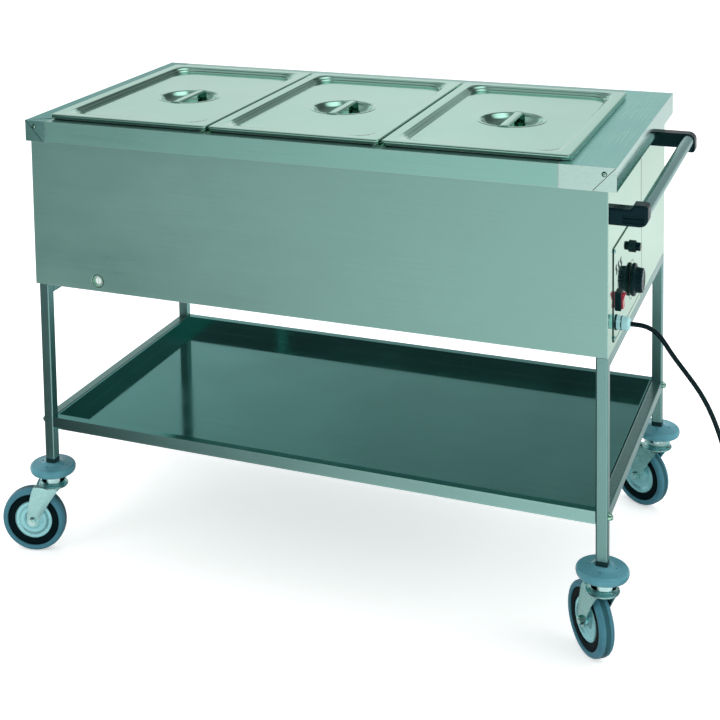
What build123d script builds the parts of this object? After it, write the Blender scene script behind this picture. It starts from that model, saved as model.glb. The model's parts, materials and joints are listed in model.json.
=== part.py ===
from build123d import *
import os
from math import cos, radians, sin

# Steam table trolley for three full-size food pans. Millimetres, +Z up. +X points to the end with the
# handle and controls, -Y to the front. The pieces are drawn round the middle of the deck, and moved
# together at the end so that the origin is on the floor at the middle of the whole footprint.

# Driving dimensions: deck and body
deck_length = 1106.0
deck_depth = 617.0
deck_top = 854.0
apron_height = 40.0
sheet = 1.2
body_left = -546.0
body_right = 538.5
body_half_depth = 300.0
body_bottom = 534.5
left_seam = -509.5
right_seam = 459.5
seam_gap = 0.5

# Driving dimensions: frame, shelf and casters
frame_half_length = 538.5
frame_half_depth = 301.0
tube_size = 20.0
tube_wall = 1.5
tube_corner = 2.5
leg_bottom = 188.0
collar_bottom = 179.0
shelf_top = 272.5
shelf_floor = 244.0
shelf_rim = 16.0
bolt_hole = 2.8
wheel_radius = 62.5
wheel_half_width = 13.5
caster_trail = 40.0
stem_radius = 6.0
cup_bottom = 141.0
bumper_bottom = 162.6
fork_inside = 16.0
fork_sheet = 2.5
swivel_angles = {"front_left": 195.0, "front_right": 129.0, "rear_left": 205.0, "rear_right": 150.0}

# Driving dimensions: food pans and lids
lid_width = 325.0
lid_depth = 530.0
lid_pitch = 329.3
first_lid_left = -509.0
lid_front = -287.5
lid_top = 864.0
lid_hem = 6.8
lid_sheet = 0.9
pan_seat = 855.5
pan_depth = 150.0
pan_half_x = 149.0
pan_half_y = 251.0

# Driving dimensions: water tank and heating
tank_x0, tank_x1 = -500.0, 465.0
tank_y0, tank_y1 = -277.5, 232.5
tank_floor = 655.0
outlet_y = -240.0
element_z = 672.0
element_ys = (-60.0, 90.0)
bulb_y, bulb_z = -150.0, 668.0

# Driving dimensions: controls on the right end
plate_front = -256.0
plate_back = 19.0
plate_bottom = 547.0
plate_top = 705.0
knob_y, knob_z = -85.0, 600.0
reset_y, reset_z = -76.0, 657.0
switch_y, switch_z = -208.0, 604.0
gland_y, gland_z = -233.0, 573.5
handle_x, handle_z = 587.0, 770.0
handle_half = 283.0
bracket_thick = 28.0
drain_x, drain_z = -410.0, 554.0

# Worked-out sizes
inner_left = body_left + sheet
inner_right = body_right - sheet
inner_half_depth = body_half_depth - sheet
panel_top = deck_top - sheet - 0.2
plate_face = body_right + sheet
deck_x = deck_length / 2
deck_y = deck_depth / 2
apron_bottom = deck_top - apron_height
rivet_z = deck_top - 11.0
tank_rim = deck_top - sheet - 0.1
rocker_pivot_x = plate_face - 1.0
lid_middle_y = lid_front + lid_depth / 2
lid_centres = [first_lid_left + lid_width / 2 + i * lid_pitch for i in range(3)]
well_left, well_right = -498.0, 463.0
well_front, well_back = -275.5, 230.5
leg_x = frame_half_length - tube_size / 2
leg_y = frame_half_depth - tube_size / 2
rail_y = frame_half_depth - tube_size
shelf_half = frame_half_length - tube_size - 0.2
bolt_z = shelf_top - tube_size / 2
corners = {
    "front_left": (-leg_x, -leg_y),
    "front_right": (leg_x, -leg_y),
    "rear_left": (-leg_x, leg_y),
    "rear_right": (leg_x, leg_y),
}


def block(x0, x1, y0, y1, z0, z1):
    """A box between two corners."""
    middle = Pos((x0 + x1) / 2, (y0 + y1) / 2, (z0 + z1) / 2)
    return middle * Box(abs(x1 - x0), abs(y1 - y0), abs(z1 - z0))


def rod(axis, across, radius, start, end):
    """A cylinder along one axis; across is its place on the other two, in X, Y, Z order."""
    middle = (start + end) / 2
    body = Cylinder(radius, abs(end - start))
    if axis == "X":
        return Pos(middle, across[0], across[1]) * Rot(0, 90, 0) * body
    if axis == "Y":
        return Pos(across[0], middle, across[1]) * Rot(90, 0, 0) * body
    return Pos(across[0], across[1], middle) * body


def hexagon_x(y, z, across_flats, x0, x1):
    """A hexagonal prism along X."""
    outline = RegularPolygon(across_flats / 2, 6, major_radius=False)
    return Pos(x0, y, z) * Rot(0, 90, 0) * extrude(outline, x1 - x0)


def outline_xz(points):
    """A flat face in the XZ plane, from (x, z) corner points."""
    return make_face(Plane.XZ * Polyline(*points, close=True))


def turned(points):
    """A solid of revolution about Z, from (radius, height) points."""
    return revolve(outline_xz(points), Axis.Z)


def square_tube(length):
    """Square tube with rounded corners, standing on the origin."""
    inside = tube_size - 2 * tube_wall
    section = RectangleRounded(tube_size, tube_size, tube_corner)
    section -= RectangleRounded(inside, inside, tube_corner - tube_wall)
    return extrude(section, length)


# ---------------------------------------------------------------- frame and shelf

def end_frame(side):
    """Two legs and two cross rails welded into one end frame; side is -1 (left) or 1 (right)."""
    legs = [
        Pos(side * leg_x, y, leg_bottom) * square_tube(body_bottom - leg_bottom)
        for y in (-leg_y, leg_y)
    ]
    rail_tops = (body_bottom, shelf_top)
    rails = [
        Pos(side * leg_x, -rail_y, top - tube_size / 2) * Rot(-90, 0, 0) * square_tube(2 * rail_y)
        for top in rail_tops
    ]
    frame = legs[0] + legs[1] + rails[0] + rails[1]
    for y in (-leg_y, leg_y):
        frame -= rod("X", (y, bolt_z), bolt_hole, side * leg_x - tube_size, side * leg_x + tube_size)
    return frame


def leg_collars():
    """Plastic plugs pressed up into the leg ends, each with a collar under the tube."""
    collar_height = leg_bottom - collar_bottom
    plug_length = 30.0
    plug_width = tube_size - 2 * tube_wall - 0.1
    body = extrude(RectangleRounded(tube_size, tube_size, tube_corner), collar_height)
    body += extrude(RectangleRounded(plug_width, plug_width, 1), collar_height + plug_length)
    body -= rod("Z", (0, 0), stem_radius + 0.05, -1, collar_height + plug_length + 1)
    return Compound([Pos(x, y, collar_bottom) * body for x, y in corners.values()])


def shelf_tray():
    """Pressed shelf: sunk floor, side walls, and front and back rims folded down over the frame."""
    wall_x = shelf_half - 1.3
    inner_y = frame_half_depth - shelf_rim
    skirt_bottom = shelf_top - tube_size
    tray = block(-wall_x, wall_x, -inner_y - sheet, inner_y + sheet, shelf_floor - sheet, shelf_floor)
    for side in (-1, 1):
        wall = side * wall_x
        tray += block(wall - side * sheet, wall, -inner_y, inner_y, shelf_floor, shelf_top)
        tray += block(wall - side * 2.4, wall, -inner_y, inner_y, shelf_top - 1.6, shelf_top)
        front = side * frame_half_depth
        inner = side * inner_y
        tray += block(-shelf_half, shelf_half, inner, front, shelf_top - sheet, shelf_top)
        tray += block(-shelf_half, shelf_half, front - side * sheet, front, skirt_bottom, shelf_top)
        tray += block(-wall_x, wall_x, inner, inner + side * sheet, shelf_floor - sheet, shelf_top)
        for end in (-1, 1):
            plate = end * shelf_half
            tray += block(plate - end * sheet, plate, inner, front, skirt_bottom, shelf_top)
            tray -= rod("X", (side * leg_y, bolt_z), bolt_hole, plate - 3, plate + 3)
    return tray


def shelf_bolts():
    """Dome-headed bolts through the legs into the shelf rims, with washers and nuts."""
    head = turned([(0, 0), (7.5, 0), (7.5, 1.5), (6, 1.5), (5.2, 5), (3, 7), (0, 7.6)])
    bolt = head + rod("Z", (0, 0), 2.5, -30, 0)
    nut_face = shelf_half - sheet
    nut_height = 4.0
    pieces = []
    for x, y in corners.values():
        side = 1 if x > 0 else -1
        pieces.append(Pos(side * frame_half_length, y, bolt_z) * Rot(0, side * 90, 0) * bolt)
        inner, outer = side * (nut_face - nut_height), side * nut_face
        nut = hexagon_x(y, bolt_z, 8, inner, outer)
        pieces.append(nut - rod("X", (y, bolt_z), 2.55, inner, outer))
    return Compound(pieces)


# ---------------------------------------------------------------- body panels

def front_panel():
    """Front sheet with its lower flange and the hole for the drain mouth."""
    panel = block(body_left, body_right, -body_half_depth, -inner_half_depth, body_bottom, panel_top)
    flange = block(inner_left, inner_right, -inner_half_depth, -285, body_bottom, body_bottom + sheet)
    return panel + flange - rod("Y", (drain_x, drain_z), 12.8, -310, -290)


def back_panel():
    panel = block(body_left, body_right, inner_half_depth, body_half_depth, body_bottom, panel_top)
    flange = block(inner_left, inner_right, 285, inner_half_depth, body_bottom, body_bottom + sheet)
    return panel + flange


def left_end_panel():
    half = inner_half_depth - 0.1
    return block(body_left, inner_left, -half, half, body_bottom, panel_top)


def right_end_front():
    """Front half of the right end, open behind the control plate."""
    y0 = -inner_half_depth + 0.1
    panel = block(inner_right, body_right, y0, plate_back + 0.8, body_bottom, panel_top)
    lap = 10.0
    panel -= block(inner_right - 1, body_right + 1, plate_front + lap, plate_back - lap,
                   plate_bottom + lap, plate_top - lap)
    for y, z in plate_screw_places():
        panel -= rod("X", (y, z), 1.7, inner_right - 1, body_right + 1)
    for y, z in handle_screw_places():
        if y < 0:
            panel -= rod("X", (y, z), 2.6, inner_right - 1, body_right + 1)
    return panel


def right_end_rear():
    y1 = inner_half_depth - 0.1
    panel = block(inner_right, body_right, plate_back + 1.4, y1, body_bottom, panel_top)
    for y, z in handle_screw_places():
        if y > 0:
            panel -= rod("X", (y, z), 2.6, inner_right - 1, body_right + 1)
    return panel


def bottom_panel():
    """Floor of the body, resting on the panel flanges, slotted for air behind the controls."""
    half = inner_half_depth - 0.1
    z0 = body_bottom + sheet
    panel = block(inner_left + 0.1, inner_right - 0.1, -half, half, z0, z0 + sheet)
    for i in range(6):
        x = 500 + i * 5.5
        panel -= block(x, x + 2.5, -40, 0, z0 - 1, z0 + sheet + 1)
    return panel


def plate_screw_places():
    inset = 5.5
    return [
        (y, z)
        for y in (plate_front + inset, plate_back - inset)
        for z in (plate_bottom + inset, plate_top - inset)
    ]


def handle_screw_places():
    return [(side * handle_half, handle_z - side * dz) for side in (-1, 1) for dz in (-7, 9)]


def control_plate():
    """Screwed-on plate that carries the knob, switch, reset button and cable gland."""
    plate = block(body_right, plate_face, plate_front, plate_back, plate_bottom, plate_top)
    x0, x1 = body_right - 1, plate_face + 1
    plate -= rod("X", (knob_y, knob_z), 5.2, x0, x1)
    plate -= rod("X", (reset_y, reset_z), 4.7, x0, x1)
    plate -= rod("X", (gland_y, gland_z), 10.2, x0, x1)
    plate -= block(x0, x1, switch_y - 11, switch_y + 11, switch_z - 15, switch_z + 15)
    for y, z in plate_screw_places():
        plate -= rod("X", (y, z), 1.7, x0, x1)
    return plate


def panel_screws():
    """Pan-head screws: four hold the control plate, four hold the handle brackets from inside."""
    small = turned([(0, 0), (3.4, 0), (3.2, 1.2), (1.6, 2.2), (0, 2.2)]) + rod("Z", (0, 0), 1.6, -6, 0.5)
    small -= block(-4, 4, -0.4, 0.4, 1.4, 3)
    screws = []
    for y, z in plate_screw_places():
        screws.append(Pos(plate_face, y, z) * Rot(0, 90, 0) * small)
    for y, z in handle_screw_places():
        head = rod("X", (y, z), 4.5, inner_right - 3, inner_right)
        screws.append(head + rod("X", (y, z), 2.4, inner_right - 1, body_right + 12))
    return Compound(screws)


# ---------------------------------------------------------------- deck

def deck_shell():
    """Deck with its folded apron, lower hems and turned-down well edge, before it is parted."""
    top = block(-deck_x, deck_x, -deck_y, deck_y, deck_top - sheet, deck_top)
    skirt = block(-deck_x, deck_x, -deck_y, deck_y, apron_bottom, deck_top)
    hem = 4.0
    skirt -= block(-deck_x + sheet, deck_x - sheet, -deck_y + sheet, deck_y - sheet,
                   apron_bottom + sheet, deck_top + 1)
    skirt -= block(-deck_x + hem, deck_x - hem, -deck_y + hem, deck_y - hem,
                   apron_bottom - 1, apron_bottom + 2)
    lip = block(well_left - sheet, well_right + sheet, well_front - sheet, well_back + sheet,
                deck_top - 12, deck_top)
    well = block(well_left, well_right, well_front, well_back, deck_top - 13, deck_top + 1)
    return top + skirt + lip - well


def deck_cap(side):
    """End cap of the deck; its side apron folds round as a tab behind each corner, riveted."""
    seam = left_seam if side < 0 else right_seam
    outer = side * deck_x
    region = block(seam, outer, -deck_y, deck_y, apron_bottom - 1, deck_top + 1)
    edge = well_left - sheet if side < 0 else well_right + sheet
    inner_edge = well_left if side < 0 else seam
    if side < 0:
        region += block(seam, inner_edge, well_front - sheet, well_back + sheet, 800, 900)
    cap = deck_shell() & region
    if side > 0:
        cap -= block(seam - 1, well_right, well_front, well_back, 800, 900)
    seat = block(edge, edge + side * 9.0, well_front, well_back, deck_top, pan_seat)
    cap += seat
    for face in (-1, 1):
        cap = fold_corner(cap, side, face)
    return cap


def fold_corner(cap, side, face):
    """Cut the apron diagonally at one corner and put the riveted tab behind the cut."""
    reach = 40.0
    outer = side * deck_x
    y = face * deck_y
    corner = [(outer, deck_top - 2), (outer, apron_bottom), (outer - side * reach, apron_bottom)]
    prism = Pos(0, y, 0) * extrude(outline_xz(corner), sheet, both=True)
    tab_y = y - face * sheet
    tab = block(outer - side * (reach - 4), outer, tab_y, tab_y - face * sheet,
                apron_bottom, deck_top - sheet)
    hole = rod("Y", (rivet_x(side), rivet_z), 1.7, y - face * 5, y + face)
    return cap - prism + tab - hole


def rivet_x(side):
    return side * (deck_x - 19.5)


def deck_strip(face):
    """Front or back strip of the deck, between the end caps."""
    y_edge = well_front if face < 0 else well_back
    region = block(left_seam + seam_gap, right_seam - seam_gap, face * deck_y, y_edge,
                   apron_bottom - 1, deck_top + 1)
    strip = deck_shell() & region
    return strip - end_lips(face)


def end_lips(face):
    """The short ends of the well lips that belong to the caps."""
    y_edge = well_front if face < 0 else well_back
    return block(left_seam, well_left, y_edge + face * sheet, y_edge - face * 1,
                 deck_top - 13, deck_top + 1)


def deck_rivets():
    """Pop rivets with a hollow in the middle of each head."""
    rivet = turned([(1.1, -6), (1.6, -6), (1.6, 0), (3.6, 0), (3.3, 0.8), (2, 1.3), (1.1, 1.3)])
    return Compound([
        Pos(rivet_x(side), face * deck_y, rivet_z) * Rot(face * -90, 0, 0) * rivet
        for side in (-1, 1)
        for face in (-1, 1)
    ])


# ---------------------------------------------------------------- water well and heating

def water_tank():
    """Sunk well for hot water, with a flange that hangs under the deck."""
    tank = block(tank_x0 - sheet, tank_x1 + sheet, tank_y0 - sheet, tank_y1 + sheet,
                 tank_floor - sheet, tank_rim)
    tank += block(tank_x0 - 9, tank_x1 + 9, tank_y0 - 9, tank_y1 + 9, tank_rim - sheet, tank_rim)
    tank -= block(tank_x0, tank_x1, tank_y0, tank_y1, tank_floor, tank_rim + 1)
    tank -= rod("Z", (drain_x, outlet_y), 10.5, tank_floor - 3, tank_floor + 1)
    for y in element_ys:
        tank -= rod("X", (y, element_z), 4.1, tank_x1 - 1, tank_x1 + 3)
    return tank - rod("X", (bulb_y, bulb_z), 1.2, tank_x1 - 1, tank_x1 + 3)


def tank_insulation():
    """Mineral wool blanket round the sides and under the floor of the tank."""
    thick = 18.0
    gap = sheet + 0.2
    x0, x1, y0, y1 = tank_x0 - gap, tank_x1 + gap, tank_y0 - gap, tank_y1 + gap
    z0 = tank_floor - gap
    wool = block(x0 - thick, x1 + thick, y0 - thick, y1 + thick, z0 - 25, tank_rim - 6)
    wool -= block(x0, x1, y0, y1, z0, tank_rim)
    wool -= rod("Z", (drain_x, outlet_y), 14, z0 - 30, z0 + 1)
    for y in element_ys:
        wool -= rod("X", (y, element_z), 12, tank_x1, tank_x1 + 30)
    return wool - rod("X", (bulb_y, bulb_z), 4, tank_x1, tank_x1 + 30)


def heating_element():
    """Tubular hairpin element low in the well, with a sealing collar at each wall passage."""
    y0, y1 = element_ys
    far = tank_x0 + 40
    end = tank_x1 + 29
    path = FilletPolyline((end, y0, element_z), (far, y0, element_z), (far, y1, element_z),
                          (end, y1, element_z), radius=60)
    loop = sweep(Plane(path @ 0, z_dir=path % 0) * Circle(4), path)
    for y in element_ys:
        loop += rod("X", (y, element_z), 8, tank_x1 - 4, tank_x1)
        loop += rod("X", (y, element_z), 8, tank_x1 + sheet, tank_x1 + 8)
    return loop


def drain_pipe():
    """Elbow from the tank floor to the mouth in the front panel."""
    path = FilletPolyline((drain_x, outlet_y, tank_floor - sheet), (drain_x, outlet_y, drain_z),
                          (drain_x, -body_half_depth + 0.3, drain_z), radius=30)
    start = Plane(path @ 0, z_dir=path % 0)
    return sweep(start * Circle(12), path) - sweep(start * Circle(10.5), path)


def drain_plug():
    """White stopper with a coin slot, set back in the pipe mouth."""
    plug = rod("Y", (drain_x, drain_z), 10.42, -292, -284)
    plug += rod("Y", (drain_x, drain_z), 6, -297, -292)
    return plug - block(drain_x - 1, drain_x + 1, -298, -295, drain_z - 7, drain_z + 7)


# ---------------------------------------------------------------- pans, crossbars and lids

def food_pan(x):
    """Deep-drawn pan with rounded, tapered walls and a flat flange."""
    wall, corner, draft = 1.0, 38.0, 3
    flange = extrude(RectangleRounded(lid_width - 3, lid_depth - 3, 14), wall)
    outline = RectangleRounded(2 * pan_half_x, 2 * pan_half_y, corner)
    opening = RectangleRounded(2 * (pan_half_x - wall), 2 * (pan_half_y - wall), corner - wall)
    outer = extrude(outline, -pan_depth, taper=draft)
    inner = extrude(opening, -(pan_depth - wall), taper=draft)
    mouth = Pos(0, 0, -0.01) * extrude(opening, wall + 1)
    return Pos(x, lid_middle_y, pan_seat) * (flange + outer - inner - mouth)


def crossbar(x):
    """Channel that carries the flanges of two pans; a tab at each end sits on the deck."""
    half = 11.0
    bottom = deck_top - 12
    bar = block(x - half, x + half, well_front + 0.5, well_back - 0.5, bottom, pan_seat)
    bar -= block(x - half + sheet, x + half - sheet, well_front + 3, well_back - 3,
                 bottom - 1, pan_seat - 1.5)
    tab = 17.0
    bar += block(x - half, x + half, well_front - tab, well_front + 2, deck_top, pan_seat)
    return bar + block(x - half, x + half, well_back - 2, well_back + tab, deck_top, pan_seat)


def crossbars():
    return Compound([crossbar((lid_centres[i] + lid_centres[i + 1]) / 2) for i in range(2)])


def lid(x):
    """Pan lid: rolled hem, flat border, sunk panel and a round dish bridged by a strap."""
    border, sunk, dish_radius, dish_depth = 22.0, 9.0, 56.5, 15.0
    top = RectangleRounded(lid_width, lid_depth, 6)
    hem = extrude(top, -lid_hem)
    hem -= Pos(0, 0, -lid_sheet) * extrude(
        RectangleRounded(lid_width - 3, lid_depth - 3, 5), -lid_hem)
    size_x, size_y = lid_width - 2 * border, lid_depth - 2 * border
    recess = RectangleRounded(size_x, size_y, 45)
    outer = extrude(recess, -(sunk + lid_sheet), taper=20)
    inner = extrude(offset(recess, -lid_sheet), -sunk, taper=20)
    shell = hem + outer - inner
    bowl = Pos(0, 0, -sunk) * extrude(Circle(dish_radius + 1), -(dish_depth + lid_sheet), taper=25)
    hollow = Pos(0, 0, -sunk) * extrude(Circle(dish_radius), -dish_depth, taper=25)
    mouth = Pos(0, 0, -sunk + 0.5) * extrude(Circle(dish_radius), -2)
    shell = shell + bowl - hollow - mouth
    strap = Pos(0, 0, -sunk + 0.9) * Box(17, 2 * dish_radius + 14, 1.8)
    place = Pos(x, lid_middle_y, lid_top)
    return Compound([place * shell, place * strap])


# ---------------------------------------------------------------- controls

def thermostat():
    """Capillary thermostat: body, threaded bush, and its sensing bulb in the well."""
    body = block(496, 534, knob_y - 22, knob_y + 22, knob_z - 22, knob_z + 22)
    body += rod("X", (knob_y, knob_z), 5, 534, plate_face + 0.5)
    body -= rod("X", (knob_y, knob_z), 3.06, 514, plate_face + 2)
    path = Polyline((430, bulb_y, bulb_z), (491, bulb_y, bulb_z), (505, knob_y - 15, 640),
                    (505, knob_y - 5, knob_z + 20))
    capillary = sweep(Plane(path @ 0, z_dir=path % 0) * Circle(1), path, transition=Transition.ROUND)
    return body + capillary + rod("X", (bulb_y, bulb_z), 3, 350, 431)


def thermostat_knob():
    """Knob with a wide skirt, a raised pointer rib and its spindle."""
    face = plate_face + 0.8
    profile = [(0, 0), (29, 0), (29, 4.2), (27.5, 6), (23, 6.4), (22.2, 8), (21.7, 17.8), (20.5, 19.2),
               (0, 19.2)]
    knob = Pos(face, knob_y, knob_z) * Rot(0, 90, 0) * turned(profile)
    knob += block(face + 6, face + 20, knob_y - 1.2, knob_y + 1.2, knob_z + 8, knob_z + 22.4)
    return knob + rod("X", (knob_y, knob_z), 3, 516, face + 1)


def safety_cutout():
    """Over-temperature cut-out behind the plate, with its fixing bezel in front."""
    body = block(505, 534, reset_y - 15, reset_y + 15, reset_z - 15, reset_z + 15)
    body += rod("X", (reset_y, reset_z), 4.5, 534, plate_face)
    body -= rod("X", (reset_y, reset_z), 2.06, 526, plate_face + 1)
    bezel = rod("X", (reset_y, reset_z), 10.5, plate_face, plate_face + 6)
    bezel -= rod("X", (reset_y, reset_z), 7.56, plate_face - 1, plate_face + 7)
    return Compound([body, bezel])


def reset_button():
    button = rod("X", (reset_y, reset_z), 7.5, plate_face + 3.4, plate_face + 14)
    button = chamfer(button.edges().sort_by(Axis.X)[-1], 0.8)
    return button + rod("X", (reset_y, reset_z), 2, 531, plate_face + 4)


def switch_housing():
    """Snap-in switch body with a chamfered bezel and the pocket for its rocker."""
    def slab(x0, x1, half_y, half_z):
        return block(x0, x1, switch_y - half_y, switch_y + half_y, switch_z - half_z, switch_z + half_z)

    bezel = slab(plate_face, plate_face + 5.5, 12, 16)
    bezel = chamfer(bezel.edges().group_by(Axis.X)[-1], 1.2)
    housing = slab(512, plate_face, 10.8, 14.8) + bezel - slab(530, plate_face + 6, 8.5, 12.9)
    return housing - rod("Y", (rocker_pivot_x, switch_z), 1.26, switch_y - 10, switch_y + 10)


def switch_rocker():
    """Rocker with a hollowed face, standing switched off with its top edge out."""
    tip, waist, back, half = 11.0, 8.8, -5.0, 11.8
    face = outline_xz([(back, -half), (tip, -half), (waist, 0), (tip, half), (back, half)])
    rocker = extrude(face, 8.25, both=True) + rod("Y", (0, 0), 1.2, -9.7, 9.7)
    return Pos(rocker_pivot_x, switch_y, switch_z) * Rot(0, 6, 0) * rocker


def terminal_block():
    """Three-way terminal block behind the gland, where the cord ends."""
    terminals = block(489, 504.5, -262, -218, 545, 563)
    for i in range(3):
        terminals -= rod("Z", (497, -254 + i * 14), 2.5, 556, 564)
    return terminals


def cable_gland():
    """Gland body through the plate, and the lock nut behind it."""
    place = (gland_y, gland_z)
    body = hexagon_x(gland_y, gland_z, 22, plate_face, plate_face + 9)
    body += rod("X", place, 10, 530, plate_face)
    body += rod("X", place, 9, plate_face + 9, plate_face + 15)
    body -= rod("X", place, 6, 529, plate_face + 16)
    nut = hexagon_x(gland_y, gland_z, 24, body_right - 5.5, body_right - 0.5)
    nut -= rod("X", place, 10.05, body_right - 6, body_right)
    return Compound([body, nut])


def gland_cap():
    """Domed cap nut that clamps the cord."""
    x0 = plate_face + 9.3
    profile = [(0, 0), (11.5, 0), (11.5, 9), (10.6, 11.6), (8.2, 13.6), (5, 14.4), (0, 14.4)]
    cap = Pos(x0, gland_y, gland_z) * Rot(0, 90, 0) * turned(profile)
    for i in range(6):
        angle = radians(60 * i + 30)
        place = (gland_y + 12.6 * sin(angle), gland_z + 12.6 * cos(angle))
        cap -= rod("X", place, 2.2, x0 + 2, x0 + 20)
    cap -= rod("X", (gland_y, gland_z), 9.1, x0 - 1, x0 + 8)
    return cap - rod("X", (gland_y, gland_z), 4.2, x0 - 1, x0 + 21)


def mains_cord():
    """Round cord that hangs from the gland to the floor, with a moulded two-pin plug."""
    floor_x, rest_z, plug_z = 764.0, 5.5, 19.5
    hang = [
        (575, gland_y, gland_z),
        (626, gland_y, 537),
        (677, gland_y, 469),
        (722, gland_y, 350),
        (754, gland_y, 200),
        (floor_x, gland_y + 16, 70),
        (floor_x, -165, 14),
        (floor_x, -110, rest_z),
        (floor_x, -40, 18),
    ]
    straight = Line((505.5, gland_y, gland_z), hang[0])
    fall = Spline(*hang, tangents=[(1, 0, 0), (0, 1, 0.15)])
    path = Wire([straight, fall])
    cord = sweep(Plane(straight @ 0, z_dir=straight % 0) * Circle(4), path)
    plug = turned([(0, 0), (6, 0), (9, 8), (16, 16), (18, 22), (18, 46), (16.5, 48), (0, 48)])
    plug = Pos(floor_x, -42, plug_z) * Rot(-90, 0, 0) * plug
    for side in (-1, 1):
        plug += rod("Y", (floor_x + side * 9.5, plug_z), 2.4, 5, 25)
    return cord + plug


# ---------------------------------------------------------------- handle

def handle_bracket():
    """Front bracket, seen from its tube: an arm off the end panel, humped over the tube at its end."""
    reach, low, high, hump = 62.0, -13.0, 15.0, 23.0
    half = bracket_thick / 2
    outline = Polyline((0, low), (reach, low), (reach, hump), (39, hump), (34, high), (0, high), close=True)
    arm = extrude(Plane.XZ * make_face(outline), half, both=True)
    upright = arm.edges().filter_by(Axis.Y)
    arm = fillet(upright.group_by(Axis.Z)[0].sort_by(Axis.X)[-1], 14)
    arm = fillet(arm.edges().filter_by(Axis.Y).group_by(Axis.Z)[-1].sort_by(Axis.X)[-1], 6)
    arm = fillet(arm.faces().sort_by(Axis.Y)[0].edges().filter_by(lambda edge: edge.center().X > 0.1), 3.5)
    arm -= block(22, 56, -half - 1, -half + 2.5, -8, 6)
    arm += rod("X", (-half + 2.5, -2), 2.6, 22.5, 55.5)
    arm -= rod("Y", (handle_x - body_right, 0), 11.05, -half + 8, half + 1)
    for dz in (-7, 9):
        arm -= rod("X", (0, dz), 2.45, -1, 12)
    return arm


def handle_brackets():
    """The same moulding at both ends of the tube, turned over at the back."""
    front = Pos(body_right, -handle_half, handle_z) * handle_bracket()
    back = Pos(body_right, handle_half, handle_z) * Rot(180, 0, 0) * handle_bracket()
    return Compound([front, back])


def handle_tube():
    half = handle_half + bracket_thick / 2 - 8.2
    place = (handle_x, handle_z)
    return rod("Y", place, 11, -half, half) - rod("Y", place, 9.5, -half, half)


# ---------------------------------------------------------------- casters

def caster_bumpers():
    """Rubber saucers between leg and caster, with four small pockets round the leg."""
    low, bore, pocket_circle = bumper_bottom, stem_radius + 0.05, 22.0
    bumper = turned([
        (bore, low), (36, low), (38.6, low - 2.2), (41, low - 2), (43, low), (44, low + 3.2),
        (44, low + 6.6), (43, low + 9.4), (41, low + 11.3), (38.2, low + 12), (30, low + 12.6),
        (20, collar_bottom - 2.5), (15, collar_bottom), (bore, collar_bottom),
    ])
    for i in range(4):
        angle = radians(45 + 90 * i)
        place = (pocket_circle * cos(angle), pocket_circle * sin(angle))
        bumper -= rod("Z", place, 2.6, collar_bottom - 5, collar_bottom + 5)
    return Compound([Pos(x, y, 0) * bumper for x, y in corners.values()])


def caster_heads():
    """Fixed half of each caster: stem, ball-race cup and the kingpin rivet under the fork."""
    head = turned([
        (0, 124), (11, 124), (11, 128.5), (stem_radius, 130), (stem_radius, cup_bottom),
        (22, cup_bottom), (25, cup_bottom + 3), (25.5, cup_bottom + 8), (25.5, bumper_bottom - 2),
        (24, bumper_bottom), (stem_radius, bumper_bottom), (stem_radius, 214), (0, 214),
    ])
    return Compound([Pos(x, y, 0) * head for x, y in corners.values()])


def at_caster(name):
    """Place of a caster: its own +X points the way the wheel trails."""
    x, y = corners[name]
    return Pos(x, y, 0) * Rot(0, 0, swivel_angles[name])


def caster_fork(name):
    """Pressed fork: crown with a ball-race rim, and two tapered legs down to the axle."""
    bore = stem_radius + 0.06
    fork = turned([(bore, 132.5), (27.5, 132.5), (28, 134), (27.5, 136), (24, 136), (22, 140),
                   (19, 140), (17, 136), (bore, 136)])
    outline = outline_xz([(-16, 134), (36, 134), (44, 120), (51, 66), (47, 54), (40, 51.5), (32, 54),
                          (26, 62), (-2, 116), (-16, 128)])
    leg = extrude(outline, fork_sheet / 2, both=True)
    for side in (-1, 1):
        fork += Pos(0, side * (fork_inside + fork_sheet / 2), 0) * leg
        fork += block(-16, 36, side * 14, side * (fork_inside + fork_sheet), 132.5, 136)
    fork -= rod("Z", (0, 0), bore, 130, 142)
    fork -= rod("Y", (caster_trail, wheel_radius), 4.05, -30, 30)
    return at_caster(name) * fork


def caster_axle(name):
    """Axle bolt with a domed head, and its nut."""
    outside = fork_inside + fork_sheet
    bolt = rod("Y", (caster_trail, wheel_radius), 4, -outside - 1, outside + 6)
    head = turned([(0, 0), (7, 0), (7, 3), (5.5, 5), (0, 5.4)])
    bolt += Pos(caster_trail, -outside, wheel_radius) * Rot(90, 0, 0) * head
    nut = Pos(caster_trail, outside, wheel_radius) * Rot(-90, 0, 0) * extrude(
        RegularPolygon(6.5, 6, major_radius=False), 5)
    nut -= rod("Y", (caster_trail, wheel_radius), 4.02, outside - 1, outside + 7)
    return at_caster(name) * Compound([bolt, nut])


def spun(points):
    """A turned wheel part, with its axis on the axle and (radius, offset) points."""
    return Pos(caster_trail, 0, wheel_radius) * Rot(90, 0, 0) * turned(points)


def mirrored(points):
    """Close a half outline of (radius, offset) points by its mirror image."""
    return points + [(radius, -offset) for radius, offset in reversed(points)]


def caster_hub(name):
    """Pressed disc hub with a sunk ring, a raised rim and the axle barrel."""
    half = [(4.06, 15.5), (8.5, 15.5), (9.5, 11), (15, 10), (17, 7.5), (27, 7.5), (29, 10), (34, 10.5),
            (37.4, 9)]
    return at_caster(name) * spun(mirrored(half))


def caster_tyre(name):
    """Black cushion ring and grey tread, moulded as two separate rings."""
    cushion = spun(mirrored([(37.43, 10), (38.5, 11), (50, 11), (51, 10.5)]))
    width = wheel_half_width
    tread = spun(mirrored([(51.02, 11.8), (52, width - 0.6), (54, width), (58, width - 0.4), (61, width - 3),
                           (wheel_radius, width - 7)]))
    return at_caster(name) * Compound([cushion, tread])


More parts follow.
